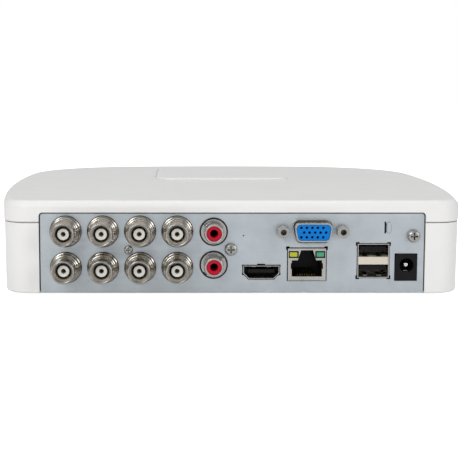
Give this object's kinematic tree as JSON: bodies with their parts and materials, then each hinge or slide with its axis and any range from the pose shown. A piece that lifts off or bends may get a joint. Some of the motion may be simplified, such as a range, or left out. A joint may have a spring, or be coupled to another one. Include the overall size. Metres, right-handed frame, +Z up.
{
  "type": "video recorder",
  "caption": "Flat white plastic video recorder box with bowed sides, a steel connector panel with coaxial, audio, monitor, network and USB sockets, and a hard drive inside.",
  "frame": {"origin": "middle of the bounding box in plan, on the surface the rubber feet stand on", "axes": "+X to the right when facing the connector panel, +Y from the connector panel to the indicator side, +Z up"},
  "size_m": [0.2156, 0.2235, 0.0426],
  "materials": {
    "white_plastic": "fine moulded texture, satin white",
    "panel_steel": "plated sheet steel, satin, faintly blue",
    "foot_rubber": "soft matt rubber",
    "screw_zinc": "zinc plated",
    "nickel": "dull nickel plating",
    "jack_block": "black moulded nylon",
    "insulator_white": "white insulator",
    "contact_gold": "gold plated contact",
    "audio_chrome": "bright nickel",
    "audio_red": "red insulator",
    "socket_steel": "tinned sheet",
    "vga_blue": "blue moulded insulator",
    "socket_black": "black moulded nylon",
    "led_yellow": "tinted clear window",
    "led_green": "tinted clear window",
    "usb_cream": "ivory moulded nylon",
    "pin_metal": "nickel plated pin",
    "board_green": "green solder mask",
    "chip_black": "black moulded package",
    "heatsink_alu": "anodised",
    "capacitor_can": "aluminium can",
    "cell_steel": "nickel steel",
    "holder_black": "black nylon",
    "light_clear": "clear acrylic",
    "drive_cast": "cast aluminium",
    "drive_lid_steel": "stamped lid",
    "platter_mirror": "polished disc",
    "lead_red": "red PVC lead",
    "lead_black": "black PVC lead"
  },
  "bodies": {
    "recorder": {"bottom_tray": "white_plastic", "rear_panel": "panel_steel", "rubber_feet": "foot_rubber", "cover_screws": "screw_zinc", "drive_screws": "screw_zinc", "board_screws": "screw_zinc", "panel_screw_small": "screw_zinc", "panel_screw_large": "screw_zinc", "vga_jackscrews": "screw_zinc", "bnc_shell_1": "nickel", "bnc_shell_2": "nickel", "bnc_shell_3": "nickel", "bnc_shell_4": "nickel", "bnc_shell_5": "nickel", "bnc_shell_6": "nickel", "bnc_shell_7": "nickel", "bnc_shell_8": "nickel", "bnc_blocks": "jack_block", "audio_jack_housing": "jack_block", "bnc_insulators": "insulator_white", "bnc_contacts": "contact_gold", "lan_contacts": "contact_gold", "audio_jack_shell_1": "audio_chrome", "audio_jack_shell_2": "audio_chrome", "audio_jack_inserts": "audio_red", "vga_shell": "socket_steel", "hdmi_shell": "socket_steel", "lan_shell": "socket_steel", "usb_shell": "socket_steel", "dc_jack_spring": "socket_steel", "vga_insert": "vga_blue", "hdmi_tongue": "socket_black", "lan_housing": "socket_black", "usb_tongues": "socket_black", "dc_jack_body": "socket_black", "drive_data_socket": "socket_black", "drive_power_socket": "socket_black", "buzzer": "socket_black", "lan_led_yellow": "led_yellow", "lan_led_green": "led_green", "usb_housing": "usb_cream", "dc_jack_pin": "pin_metal", "main_board": "board_green", "vga_riser_board": "board_green", "led_board": "board_green", "main_chip": "chip_black", "memory_chips": "chip_black", "heatsink": "heatsink_alu", "capacitors": "capacitor_can", "coin_cell": "cell_steel", "coin_cell_holder": "holder_black", "light_guide": "light_clear", "drive_base": "drive_cast", "drive_lid": "drive_lid_steel", "drive_data_cable": "lead_red", "drive_power_cable": "lead_black"},
    "cover": {"top_cover": "white_plastic"},
    "ground_terminal": {"ground_screw": "screw_zinc"},
    "platters": {"drive_platters": "platter_mirror"},
    "actuator": {"drive_actuator": "drive_cast"}
  },
  "joints": [
    {"name": "cover_lift", "type": "slide", "parent": "recorder", "child": "cover", "axis": [0, 0, 1], "range_m": [0, 0.06]},
    {"name": "ground_screw_turn", "type": "hinge", "parent": "recorder", "child": "ground_terminal", "pos_m": [0.0765, -0.09922, 0.0267], "axis": [0, -1, 0], "continuous": true},
    {"name": "platter_spin", "type": "hinge", "parent": "recorder", "child": "platters", "pos_m": [-0.0225, 0.03757, 0.02], "axis": [0, 0, 1], "continuous": true},
    {"name": "actuator_swing", "type": "hinge", "parent": "recorder", "child": "actuator", "pos_m": [0.04, 0.05878, 0.02], "axis": [0, 0, -1], "range_deg": [0, 38]}
  ]
}
